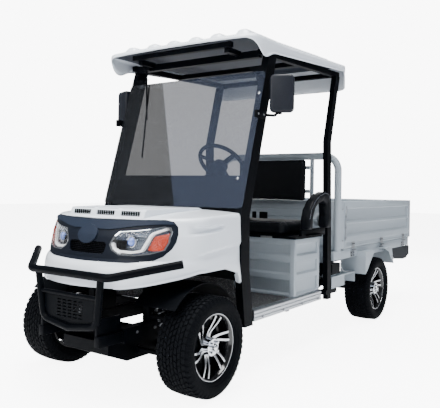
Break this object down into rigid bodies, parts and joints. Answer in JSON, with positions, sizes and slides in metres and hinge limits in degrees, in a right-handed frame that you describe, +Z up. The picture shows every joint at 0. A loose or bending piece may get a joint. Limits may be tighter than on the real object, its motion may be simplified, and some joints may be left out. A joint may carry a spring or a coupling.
{
  "type": "utility golf cart",
  "caption": "Two-seat utility golf cart with a roof, windshield, brush guard and a drop-side cargo bed; wheels roll and steer, bed sides, tailgate and seat open.",
  "frame": {"origin": "on the floor under the middle of the overall box", "axes": "+Z up, +X to the vehicle's left, the front faces -Y"},
  "size_m": [1.5648, 4.2229, 2.24],
  "materials": {
    "white_shell": "gloss white moulded ABS",
    "grey_steel": "light grey powder-coated pressed steel",
    "black_steel": "satin black powder coat",
    "dark_trim": "matte dark grey moulded plastic",
    "black_plastic": "matte black moulded plastic",
    "lamp": "clear lamp lens over a chrome reflector",
    "tail_lamp": "red lamp lens",
    "tinted_glass": "lightly tinted clear screen",
    "vinyl": "black stitched vinyl",
    "tyre": "black rubber",
    "alloy": "machined alloy with gloss black",
    "sill_alloy": "ribbed extruded aluminium",
    "steel": "bare and zinc-plated steel",
    "mat": "dark speckled floor mat",
    "battery": "battery case"
  },
  "bodies": {
    "root": {"chassis_frame": "black_steel", "front_suspension": "black_steel", "rear_suspension": "steel", "rear_axle": "black_steel", "battery_pack": "battery", "floor_pan": "mat", "side_sills": "sill_alloy", "front_cowl": "white_shell", "hood_vents": "black_plastic", "front_fascia": "dark_trim", "headlights": "lamp", "brush_guard": "black_steel", "wheel_liners": "black_plastic", "dashboard": "black_plastic", "steering_column": "black_plastic", "pedals": "black_steel", "windshield": "tinted_glass", "wiper": "black_plastic", "front_posts": "black_steel", "rear_posts": "black_steel", "roof_frame": "black_steel", "roof_panel": "white_shell", "mirrors": "black_plastic", "seat_box": "grey_steel", "seat_base": "black_steel", "seat_back": "vinyl", "armrests": "vinyl", "bed_floor": "grey_steel", "bed_header": "grey_steel", "rear_fenders": "grey_steel", "rear_bumper": "dark_trim", "tail_lamps": "tail_lamp"},
    "seat_lid": {"seat_pan": "black_steel", "seat_cushion": "vinyl"},
    "bed_side_left": {"bed_side_left": "grey_steel"},
    "bed_side_right": {"bed_side_right": "grey_steel"},
    "tailgate": {"tailgate": "grey_steel"},
    "steering_wheel": {"steering_wheel": "black_plastic"},
    "steering_rack": {"steering_rack": "steel"},
    "knuckle_left": {"knuckle_left": "steel"},
    "knuckle_right": {"knuckle_right": "steel"},
    "wheel_front_left": {"tyre_front_left": "tyre", "rim_front_left": "alloy"},
    "wheel_front_right": {"tyre_front_right": "tyre", "rim_front_right": "alloy"},
    "wheel_rear_left": {"tyre_rear_left": "tyre", "rim_rear_left": "alloy"},
    "wheel_rear_right": {"tyre_rear_right": "tyre", "rim_rear_right": "alloy"}
  },
  "joints": [
    {"name": "steer_left", "type": "hinge", "parent": "root", "child": "knuckle_left", "pos_m": [0.472, -1.5985, 0.286], "axis": [0, 0, 1], "range_deg": [-30, 30]},
    {"name": "steer_right", "type": "hinge", "parent": "root", "child": "knuckle_right", "pos_m": [-0.472, -1.5985, 0.286], "axis": [0, 0, 1], "range_deg": [-30, 30]},
    {"name": "rack_slide", "type": "slide", "parent": "root", "child": "steering_rack", "axis": [1, 0, 0], "range_m": [-0.064, 0.064]},
    {"name": "steering_turn", "type": "hinge", "parent": "root", "child": "steering_wheel", "pos_m": [0.25, -0.9735, 1.345], "axis": [0, 0.7071, 0.7071], "range_deg": [-301, 301]},
    {"name": "roll_front_left", "type": "hinge", "parent": "knuckle_left", "child": "wheel_front_left", "pos_m": [0.57, -1.5985, 0.286], "axis": [1, 0, 0], "continuous": true},
    {"name": "roll_front_right", "type": "hinge", "parent": "knuckle_right", "child": "wheel_front_right", "pos_m": [-0.57, -1.5985, 0.286], "axis": [1, 0, 0], "continuous": true},
    {"name": "roll_rear_left", "type": "hinge", "parent": "root", "child": "wheel_rear_left", "pos_m": [0.565, 0.9565, 0.286], "axis": [1, 0, 0], "continuous": true},
    {"name": "roll_rear_right", "type": "hinge", "parent": "root", "child": "wheel_rear_right", "pos_m": [-0.565, 0.9565, 0.286], "axis": [1, 0, 0], "continuous": true},
    {"name": "seat_lid_lift", "type": "hinge", "parent": "root", "child": "seat_lid", "pos_m": [0, -0.0865, 0.828], "axis": [-1, 0, 0], "range_deg": [0, 75]},
    {"name": "bed_left_drop", "type": "hinge", "parent": "root", "child": "bed_side_left", "pos_m": [0.617, 1.1895, 0.672], "axis": [0, 1, 0], "range_deg": [0, 105]},
    {"name": "bed_right_drop", "type": "hinge", "parent": "root", "child": "bed_side_right", "pos_m": [-0.617, 1.1895, 0.672], "axis": [0, -1, 0], "range_deg": [0, 105]},
    {"name": "tailgate_drop", "type": "hinge", "parent": "root", "child": "tailgate", "pos_m": [0, 2.1035, 0.672], "axis": [-1, 0, 0], "range_deg": [0, 130]}
  ],
  "couplings": [
    {"joint": "steer_right", "follows": "steer_left", "ratio": 1},
    {"joint": "rack_slide", "follows": "steer_left", "m_per_rad": -0.12},
    {"joint": "steering_turn", "follows": "steer_left", "ratio": 10}
  ]
}
